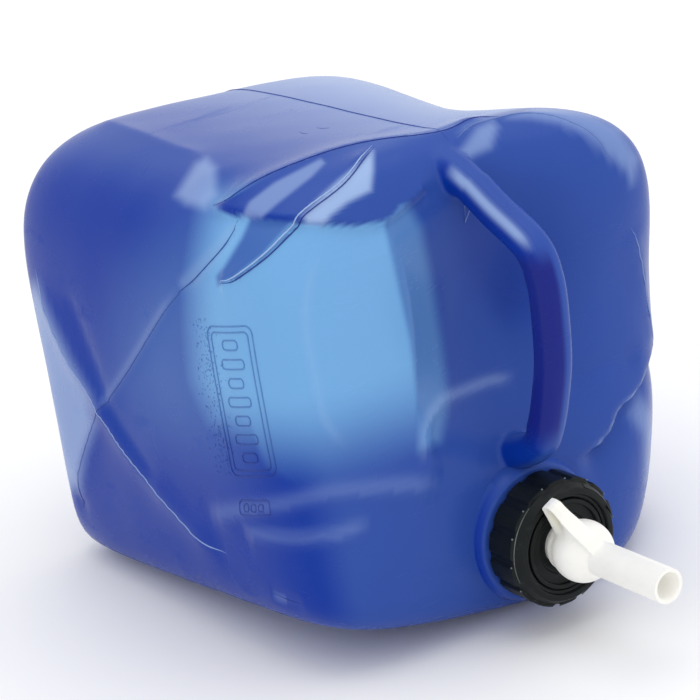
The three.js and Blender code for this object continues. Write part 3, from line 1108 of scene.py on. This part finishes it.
def makeTap():
    ball, foot, back, spoutEnd = tap["ballRadius"], tap["footRadius"], tap["footBack"], tap["spoutEnd"]
    profile = [(back, 0), (back, foot - 0.8), (back + 0.8, foot)]
    start = -math.acos(foot / ball)
    end = math.acos(tap["spoutRadius"] / ball)
    for i in range(25):
        angle = start + (end - start) * i / 24
        profile.append((tap["ballMiddle"] + ball * math.sin(angle), ball * math.cos(angle)))
    profile += [(spoutEnd + 3, tap["spoutRadius"]), (spoutEnd + 3, 0)]
    piece = turned("turning_tap", profile, 96)
    combine(piece, makeWing(), "UNION")
    remesh = piece.modifiers.new("remesh", "REMESH")
    remesh.mode = "VOXEL"
    remesh.voxel_size = tap["voxel"] * mm
    smooth = piece.modifiers.new("soften", "SMOOTH")
    smooth.iterations = 6
    smooth.factor = 0.6
    applied(piece)
    points = meshPoints(piece)
    lean = math.radians(tap["wingLean"])
    across = np.array((0, -math.cos(lean), -math.sin(lean)))
    points -= across * (scoopShare(points) * tap["scoop"]["depth"])[:, None]
    piece.data.vertices.foreach_set("co", (points * mm).ravel())
    stemBack, thick, bore = tap["stemBack"], tap["stem"], tap["bore"]
    stem = turned("stem", [
        (stemBack, 0), (stemBack, thick - 0.5), (stemBack + 0.5, thick), (144, thick), (144, 9.6),
        (145.8, 9.6), (145.8, thick), (163.4, thick), (163.4, 9.9), (166.6, 9.9), (166.6, thick),
        (back + 4, thick), (back + 4, 0),
    ])
    combine(piece, stem, "UNION")
    hollow = turned("bore", [
        (148, 0), (148, bore), (spoutEnd - 0.6, bore), (spoutEnd + 0.1, bore + 0.5),
        (spoutEnd + 6, bore + 0.5), (spoutEnd + 6, 0),
    ], 72)
    combine(piece, hollow, "DIFFERENCE")
    spare = turned("end", [(spoutEnd, 0), (spoutEnd, 14), (spoutEnd + 8, 14), (spoutEnd + 8, 0)], 48)
    combine(piece, spare, "DIFFERENCE")
    drill(piece, (port["x"], port["tapY"], neckZ), port["tapRadius"], port["tapDepth"], math.pi / 2)
    # the scoop's share also carries the painted shade of the hollow
    storeShare(piece, "scoop", scoopShare(meshPoints(piece)))
    return smoothShade(piece, 40)


def scoopShare(points):
    # 1 in the middle of the thumb scoop, on the wing's lower left side
    lean = math.radians(tap["wingLean"])
    local = points - np.array((0, 0, neckZ))
    reach = local @ np.array((0, -math.sin(lean), math.cos(lean)))
    side = local @ np.array((0, -math.cos(lean), -math.sin(lean)))
    x = points[:, 0] - tap["wingBack"]
    scoop = tap["scoop"]
    alongReach = (reach - scoop["reach"]) / scoop["reachSpread"]
    alongX = (x - scoop["x"]) / scoop["xSpread"]
    return np.where(side > 0, np.exp(-(alongReach**2) - alongX**2), 0)


tapPiece = makeTap()
print("tap made:", len(tapPiece.data.polygons), "faces")


# raised lines on the shell: the mould's parting line and the plain plate
surface = BVHTree.FromObject(shellPiece, bpy.context.evaluated_depsgraph_get())


def landOn(start, direction):
    # where a straight look from start along direction meets the shell, in millimetres
    hit = surface.ray_cast(Vector(start) * mm, Vector(direction).normalized())
    if hit[0] is None:
        return None
    return np.array(hit[0]) / mm


def wire(name, paths, radius, around=8):
    # thin rounded lines half sunk in the surface; each path is a list of places and if it closes
    points = []
    faces = []
    for places, closes in paths:
        places = np.array(places)
        tangents = unitRows(np.gradient(places, axis=0) if not closes
                            else np.roll(places, -1, 0) - np.roll(places, 1, 0))
        rings = []
        for i, place in enumerate(places):
            outward = np.array(surface.find_nearest(Vector(place) * mm)[1])
            across = unitRows(np.cross(tangents[i], outward))
            up = unitRows(np.cross(across, tangents[i]))
            fromEnd = min(i, len(places) - 1 - i)
            share = 1 if closes else min(1, 0.2 + fromEnd / 12)  # open ends taper over their last 12 places
            rings.append((place, across, up, radius * share))
        addTube(points, faces, rings, around, closes)
    return smoothShade(linkMesh(name, points, faces), 60)


seam = {"height": 136, "y": 3, "from": 51, "step": 1.02, "count": 156, "radius": 0.4}


def partingPath():
    # over the top from the handle's root to the back, and down the back
    places = []
    for i in range(seam["count"]):
        angle = math.radians(seam["from"] + i * seam["step"])
        outward = np.array((math.cos(angle), 0, math.sin(angle)))
        start = np.array((0, seam["y"], seam["height"])) + outward * 400
        places.append(landOn(start, -outward))
    return places


def handleEdgePath():
    # along the outer edge of the handle's bar
    path = smoothPath(handle["corners"], 3)
    tangents = unitRows(np.gradient(path, axis=0))
    places = []
    for place, tangent in list(zip(path, tangents))[10:-16]:
        outward = np.array((tangent[2], 0, -tangent[0]))
        spot = landOn(place + outward * 30, -outward)
        if spot is not None:
            places.append(spot)
    return places


def creasePath(corners):
    # a fold's middle line, laid on the finished surface
    places = []
    for place in surfaceSamples(corners):
        outward = unitRows(place - centre)
        spot = landOn(place + outward * 25, -outward)
        farthest = 12  # a spot farther off lies on the handle
        if spot is not None and np.linalg.norm(spot - place) < farthest:
            places.append(spot)
    return places


# which folds get a crisp line, and how strongly it is tinted: a painted highlight on crests, painted shade in
# creases
highlightLines = {"tongue ridge": 0.85, "long ridge": 0.75, "right rim": 0.5, "right lobe's edge": 0.3}
shadeLines = {"top front edge": 0.8, "groove beside the tongue": 0.9, "long crease, upper half": 0.8,
             "long crease, lower half": 0.3, "low crease": 0.4, "pinch one": 0.8, "pinch two": 0.8}
pinches = {"pinch one": [(25, -39, 267), (29, -40, 267), (33, -39, 267)],
           "pinch two": [(27, -29, 267), (31, -28, 267), (34, -25, 267)]}


def foldWires(name, lines, mask, radius):
    # crisp lines along the folds, tinted a little lighter or darker than the wall as painted highlights or
    # painted shade
    pieces = []
    for fold, strength in lines.items():
        corners = folds[fold]["corners"] if fold in folds else pinches[fold]
        piece = wire(name, [(creasePath(corners), False)], radius)
        paintMasks(piece)
        tint(piece, mask, strength)
        pieces.append(piece)
    bpy.ops.object.select_all(action="DESELECT")
    for piece in pieces:
        piece.select_set(True)
    bpy.context.view_layer.objects.active = pieces[0]
    bpy.ops.object.join()
    return pieces[0]


def tint(piece, mask, strength):
    for name in ("backlitWall", "highlightWall", "shadowWall", "shadedWall"):
        layer = piece.data.attributes[name]
        values = np.empty(len(piece.data.vertices))
        layer.data.foreach_get("value", values)
        if name == mask:
            values = np.maximum(values, strength)
        elif mask == "shadowWall":
            values *= 1 - strength
        layer.data.foreach_set("value", values)


plate = {
    # raised plain plate on the near left edge, by the places of its corners
    "top left": (64, -137, 192),
    "top right": (99, -131, 198),
    "bottom left": (70, -138, 109),
    "bottom right": (108, -133, 118),
    "width": 36,
    "height": 82,
    "rounding": 5,
    "inset": 3.2,
    "bars": 7,  # a plain pattern of bars in place of any wording
    "firstBar": 10,
    "barSpacing": 10.3,
    "barHalf": 2.6,
    "barSides": (12, 9),  # narrow and wide bars in turn, by the room left at their sides
    "small": {"left": 3, "right": 28, "top": 95, "bottom": 103, "loops": 3},
}


def plateSpot(across, down):
    # a place on the near left edge; across and down run from 0 to 1 over the plate
    top = np.array(plate["top left"]) * (1 - across) + np.array(plate["top right"]) * across
    bottom = np.array(plate["bottom left"]) * (1 - across) + np.array(plate["bottom right"]) * across
    start = top * (1 - down) + bottom * down
    outward = unitRows(np.array((0.45, -0.89, 0.0)))
    return landOn(start + outward * 40, -outward)


def roundedLoop(left, right, top, bottom, rounding):
    # a rounded rectangle in millimetres from the plate's top left corner, laid on the surface
    flat = []
    corners = ((right, top), (left, top), (left, bottom), (right, bottom))
    for turn, (cornerX, cornerY) in zip((0, 90, 180, 270), corners):
        middleX = cornerX + rounding * (1 if cornerX == left else -1)
        middleY = cornerY + rounding * (1 if cornerY == top else -1)
        for step in range(7):
            angle = math.radians(turn + step * 15)
            flat.append((middleX + rounding * math.cos(angle), middleY - rounding * math.sin(angle)))
    dense = []
    for (a, b), (c, d) in zip(flat, flat[1:] + flat[:1]):
        count = max(1, int(math.hypot(c - a, d - b) / 2))
        dense += [(a + (c - a) * i / count, b + (d - b) * i / count) for i in range(count)]
    return [plateSpot(x / plate["width"], y / plate["height"]) for x, y in dense]


def platePaths():
    width, height, inset = plate["width"], plate["height"], plate["inset"]
    paths = [(roundedLoop(0, width, 0, height, plate["rounding"]), True),
             (roundedLoop(inset, width - inset, inset, height - inset, plate["rounding"] - 2), True)]
    for i in range(plate["bars"]):
        middle = plate["firstBar"] + i * plate["barSpacing"]
        side = plate["barSides"][i % 2]
        half = plate["barHalf"]
        paths.append((roundedLoop(side, width - side, middle - half, middle + half, half - 0.4), True))
    small = plate["small"]
    paths.append((roundedLoop(small["left"], small["right"], small["top"], small["bottom"], 2.5), True))
    for i in range(small["loops"]):
        left = small["left"] + 4 + 6 * i
        paths.append((roundedLoop(left, left + 4, small["top"] + 2, small["bottom"] - 2, 1.4), True))
    return paths


specks = {
    "count": 320,
    "seed": 11,
    "across": (-0.12, 0.16),  # middle and spread, in plate widths
    "down": (-0.05, 1.0),  # from and to, in plate heights
    "radius": (0.2, 0.65),
    "rings": ((1, -0.3), (0.92, 0.15), (0.6, 0.42), (0.22, 0.52)),  # (width, height) shares up a blister
}


def makeSpecks():
    # small blisters in the wall beside the plate
    draw = np.random.default_rng(specks["seed"])
    points = []
    faces = []
    for _ in range(specks["count"]):
        middle, spread = specks["across"]
        across = middle + draw.normal() * spread
        down = draw.uniform(*specks["down"])
        radius = draw.uniform(*specks["radius"])
        spot = plateSpot(across, down)
        if spot is None:
            continue
        outward = np.array(surface.find_nearest(Vector(spot) * mm)[1])
        sideways = unitRows(np.cross(outward, (0, 0, 1)))
        upward = np.cross(sideways, outward)
        rings = [(spot + radius * high * outward, sideways, upward, radius * wide)
                 for wide, high in specks["rings"]]
        addTube(points, faces, rings, 8)
    return smoothShade(linkMesh("wall_blisters", points, faces), 80)


seamPiece = wire("parting_line", [(partingPath(), False)], seam["radius"])
barSeamPiece = wire("handle_parting_line", [(handleEdgePath(), False)], seam["radius"])
lightPiece = foldWires("fold_crest_highlights", highlightLines, "highlightWall", 0.42)
darkPiece = foldWires("fold_crease_shade", shadeLines, "shadowWall", 0.4)
raisedPlatePiece = wire("raised_plate", platePaths(), 0.42, 6)
speckPiece = makeSpecks()
# the raised lines are tinted: the parting line, plate and blisters darker with the painted shade colour, the
# handle's parting line lighter with the painted highlight colour
for piece, mask, strength in ((seamPiece, "shadowWall", 0.5), (barSeamPiece, "highlightWall", 0.42),
                              (raisedPlatePiece, "shadowWall", 0.45), (speckPiece, "shadowWall", 0.4)):
    paintMasks(piece)
    tint(piece, mask, strength)
print("raised lines made")


# shader groups, each built once and placed in every material that needs it
def newGroup(name, inputs, outputs):
    group = bpy.data.node_groups.new(name, "ShaderNodeTree")
    for label, kind, value in inputs:
        socket = group.interface.new_socket(label, in_out="INPUT", socket_type=kind)
        socket.default_value = value
    for label, kind in outputs:
        group.interface.new_socket(label, in_out="OUTPUT", socket_type=kind)
    start = group.nodes.new("NodeGroupInput")
    end = group.nodes.new("NodeGroupOutput")
    return group, start, end


def node(tree, kind, inputs=None, **settings):
    made = tree.nodes.new(kind)
    for key, value in settings.items():
        setattr(made, key, value)
    for key, value in (inputs or {}).items():
        if isinstance(value, bpy.types.NodeSocket):
            tree.links.new(value, made.inputs[key])
        else:
            made.inputs[key].default_value = value
    return made


def makeGrainGroup():
    # fine moulded grain and slow waviness, as a height and a cloudy mask
    group, start, end = newGroup(
        "mouldGrain",
        [("Grain Size", "NodeSocketFloat", 900.0), ("Wave Size", "NodeSocketFloat", 25.0),
         ("Wave Share", "NodeSocketFloat", 0.5)],
        [("Height", "NodeSocketFloat"), ("Cloud", "NodeSocketFloat")],
    )
    place = node(group, "ShaderNodeTexCoord").outputs["Object"]
    given = start.outputs
    grain = node(group, "ShaderNodeTexNoise", {"Vector": place, "Scale": given["Grain Size"], "Detail": 2.0})
    wave = node(group, "ShaderNodeTexNoise", {"Vector": place, "Scale": given["Wave Size"], "Detail": 3.0})
    blend = node(group, "ShaderNodeMix",
                 {"Factor": given["Wave Share"], "A": grain.outputs["Fac"], "B": wave.outputs["Fac"]})
    group.links.new(blend.outputs["Result"], end.inputs["Height"])
    group.links.new(wave.outputs["Fac"], end.inputs["Cloud"])
    return group


def makeScuffGroup():
    # short rubbed marks and dust specks, as a mask
    group, start, end = newGroup(
        "handlingScuffs",
        [("Mark Size", "NodeSocketFloat", 60.0), ("Amount", "NodeSocketFloat", 0.3)],
        [("Mask", "NodeSocketFloat")],
    )
    place = node(group, "ShaderNodeTexCoord").outputs["Object"]
    stretched = node(group, "ShaderNodeMapping",
                     {"Vector": place, "Scale": (1, 0.25, 1.6), "Rotation": (0.5, 0.2, 0.9)})
    marks = node(group, "ShaderNodeTexNoise",
                 {"Vector": stretched.outputs["Vector"], "Scale": start.outputs["Mark Size"], "Detail": 6.0,
                  "Roughness": 0.7})
    threshold = node(group, "ShaderNodeMapRange",
                     {"Value": marks.outputs["Fac"], "From Min": 0.58, "From Max": 0.74,
                      "To Max": start.outputs["Amount"]})
    group.links.new(threshold.outputs["Result"], end.inputs["Mask"])
    return group


grainGroup = makeGrainGroup()
scuffGroup = makeScuffGroup()


def newMaterial(name):
    material = bpy.data.materials.new(name)
    material.use_nodes = True
    tree = material.node_tree
    shader = tree.nodes["Principled BSDF"]
    return material, tree, shader


def placeMoulded(tree, shader, finish):
    # the moulded grain and the scuffs: bump, and a roughness that the cloudy mask varies
    grain = node(tree, "ShaderNodeGroup", finish["grain"], node_tree=grainGroup)
    scuffs = node(tree, "ShaderNodeGroup", finish["scuffs"], node_tree=scuffGroup)
    low, high = finish["roughness"]
    rough = node(tree, "ShaderNodeMapRange", {"Value": grain.outputs["Cloud"], "To Min": low, "To Max": high})
    strength, distance = finish["bump"]
    bump = node(tree, "ShaderNodeBump",
                {"Strength": strength, "Distance": distance, "Height": grain.outputs["Height"]})
    tree.links.new(bump.outputs["Normal"], shader.inputs["Normal"])
    return grain.outputs["Cloud"], scuffs.outputs["Mask"], rough.outputs["Result"]


def mixColour(tree, factor, first, second):
    # the colour mix has its factor at socket 0 and its two colours at 6 and 7
    made = tree.nodes.new("ShaderNodeMix")
    made.data_type = "RGBA"
    for index, value in ((0, factor), (6, first), (7, second)):
        if isinstance(value, bpy.types.NodeSocket):
            tree.links.new(value, made.inputs[index])
        else:
            made.inputs[index].default_value = value if index == 0 else (*value, 1)
    return made.outputs[2]


blueShell = {
    "deep": (0.024, 0.070, 0.335),
    "cloud": (0.032, 0.082, 0.375),
    # painted shade on the sides facing left
    "shaded": (0.002, 0.034, 0.32),
    # painted shade in creases, the pocket and on the bar's left half
    "shadow": (0.010, 0.018, 0.21),
    # painted backlight: a light cyan for light from behind coming through the wall
    "backlit": (0.165, 0.39, 0.71),
    # painted highlights and sheen
    "highlight": (0.36, 0.50, 0.78),
    "roughness": (0.2, 0.32),
    "bump": (0.12, 0.0006),
    "specular": 0.13,
    "grain": {"Grain Size": 700, "Wave Size": 14, "Wave Share": 0.6},
    "scuffs": {"Mark Size": 38, "Amount": 0.25},
}


def makeBlueMaterial():
    material, tree, shader = newMaterial("blue_polyethylene")
    cloud, scuff, rough = placeMoulded(tree, shader, blueShell)
    colour = mixColour(tree, cloud, blueShell["deep"], blueShell["cloud"])
    # the painted shade, backlight and highlights are mixed over the base colour in turn
    for tone in ("shaded", "shadow", "backlit", "highlight"):
        share = node(tree, "ShaderNodeAttribute", attribute_name=tone + "Wall").outputs["Fac"]
        colour = mixColour(tree, share, colour, blueShell[tone])
    tree.links.new(colour, shader.inputs["Base Color"])
    rougher = node(tree, "ShaderNodeMath", {0: rough, 1: scuff}, operation="ADD")
    tree.links.new(rougher.outputs[0], shader.inputs["Roughness"])
    shader.inputs["Specular IOR Level"].default_value = blueShell["specular"]
    return material


# (strength, distance) of the bump, and marks: the scuffs' size
plainFinishes = {
    "black_polypropylene": {
        "dark": (0.004, 0.006, 0.007), "light": (0.008, 0.011, 0.011), "scuff": (0.05, 0.055, 0.055),
        "roughness": (0.3, 0.46), "bump": (0.2, 0.0002), "marks": 150, "specular": 0.16,
    },
    # painted highlight: a light grey standing in for glints on the collar's front edge and rib corners
    "painted_glint_grey": {
        "dark": (0.10, 0.12, 0.115), "light": (0.18, 0.2, 0.19), "scuff": (0.05, 0.055, 0.055),
        "roughness": (0.3, 0.46), "bump": (0.2, 0.0002), "marks": 60,
    },
    "white_polypropylene": {
        "dark": (0.80, 0.79, 0.74), "light": (0.88, 0.87, 0.83), "scuff": (0.70, 0.69, 0.64),
        # the glow is painted light: the tap gives off a little light of its own
        "roughness": (0.3, 0.45), "bump": (0.12, 0.0002), "marks": 120, "glow": 0.12,
        # painted shade, yellowish, in the thumb scoop's hollow
        "scoop": (0.50, 0.48, 0.30),
    },
    "dark_rubber": {
        "dark": (0.012, 0.012, 0.013), "light": (0.03, 0.03, 0.032), "scuff": (0.07, 0.07, 0.07),
        "roughness": (0.65, 0.85), "bump": (0.3, 0.0002), "marks": 300,
    },
    "pale_rubber": {
        "dark": (0.50, 0.46, 0.37), "light": (0.60, 0.56, 0.47), "scuff": (0.4, 0.37, 0.3),
        "roughness": (0.6, 0.8), "bump": (0.3, 0.0002), "marks": 300,
    },
}


def makePlainMaterial(name):
    finish = dict(plainFinishes[name])
    finish["grain"] = {"Grain Size": 1500, "Wave Size": 90, "Wave Share": 0.35}
    finish["scuffs"] = {"Mark Size": finish["marks"], "Amount": 0.35}
    material, tree, shader = newMaterial(name)
    cloud, scuff, rough = placeMoulded(tree, shader, finish)
    base = mixColour(tree, cloud, finish["dark"], finish["light"])
    colour = mixColour(tree, scuff, base, finish["scuff"])
    # the thumb scoop's hollow is painted darker as shade
    if "scoop" in finish:
        share = node(tree, "ShaderNodeAttribute", attribute_name="scoop").outputs["Fac"]
        colour = mixColour(tree, share, colour, finish["scoop"])
    tree.links.new(colour, shader.inputs["Base Color"])
    tree.links.new(rough, shader.inputs["Roughness"])
    shader.inputs["Specular IOR Level"].default_value = finish.get("specular", 0.5)
    # emission is painted light, given only where a finish has a glow
    shader.inputs["Emission Color"].default_value = (*finish["light"], 1)
    shader.inputs["Emission Strength"].default_value = finish.get("glow", 0)
    return material


materials = {name: makePlainMaterial(name) for name in plainFinishes}
materials["blue_polyethylene"] = makeBlueMaterial()
print("materials made")


# who rides on what
def dress(piece, material):
    piece.data.materials.clear()
    piece.data.materials.append(materials[material])


# the pieces on each body, with the CAD node that a piece stands in for
blueLines = (seamPiece, barSeamPiece, lightPiece, darkPiece, raisedPlatePiece, speckPiece)
parts = [(shellPiece, "container", "blue_polyethylene", "blue_shell", "container_shell")]
parts += [(piece, "container", "blue_polyethylene", "blue_shell", None) for piece in blueLines]
parts += [
    (collarPiece, "collar", "black_polypropylene", "black_cap", "screw_collar"),
    (arrowPiece, "collar", "black_polypropylene", "black_cap", None),
    (glintPiece, "collar", "painted_glint_grey", "black_cap", None),
    (platePiece, "plug", "black_polypropylene", "black_cap", "spigot_plate"),
    (tapPiece, "tap", "white_polypropylene", "white_tap", "tap_body"),
]
for piece, body, material, slot, stoodFor in parts:
    dress(piece, material)
    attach(piece, body)
    if stoodFor:
        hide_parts(stoodFor)
insideCap = {
    "neck_gasket": "pale_rubber",
    "port_sleeve": "pale_rubber",
    "stem_o_ring": "dark_rubber",
    "retaining_ring": "white_polypropylene",
}
for name, material in insideCap.items():
    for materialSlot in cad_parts[name].material_slots:
        materialSlot.material = materials[material]
print("pieces ride on their bodies")


# floor and light
studio = {
    "floor": (0.95, 0.95, 0.955),
    "world": 1.0,
    "lamps": {
        "behind": {"place": (-2.3, 1.9, 1.35), "aim": (0, 0, 0.2), "size": 2.0, "power": 2},
        "overhead": {"place": (0.3, 0.2, 2.2), "aim": (0, 0, 0), "size": 2.0, "power": 10},
    },
}


def addStudio():
    bpy.ops.mesh.primitive_plane_add(size=12, location=(0, 0, -0.0004))
    floor = bpy.context.object
    floor.name = "studio_floor"
    material, tree, shader = newMaterial("studio_floor")
    shader.inputs["Base Color"].default_value = (*studio["floor"], 1)
    shader.inputs["Roughness"].default_value = 0.8
    floor.data.materials.append(material)
    for name, lamp in studio["lamps"].items():
        light = bpy.data.lights.new(name, "AREA")
        light.shape = "DISK"
        light.size = lamp["size"]
        light.energy = lamp["power"]
        holder = bpy.data.objects.new(name, light)
        holder.location = lamp["place"]
        aim = Vector(lamp["aim"]) - Vector(lamp["place"])
        holder.rotation_euler = aim.to_track_quat("-Z", "Y").to_euler()
        holder.visible_camera = False
        bpy.context.scene.collection.objects.link(holder)
    world = bpy.data.worlds.new("studio")
    world.use_nodes = True
    background = world.node_tree.nodes["Background"]
    background.inputs["Color"].default_value = (1, 1, 1, 1)
    background.inputs["Strength"].default_value = studio["world"]
    bpy.context.scene.world = world
    bpy.context.scene.view_settings.view_transform = "Standard"


addStudio()
print("studio lit")
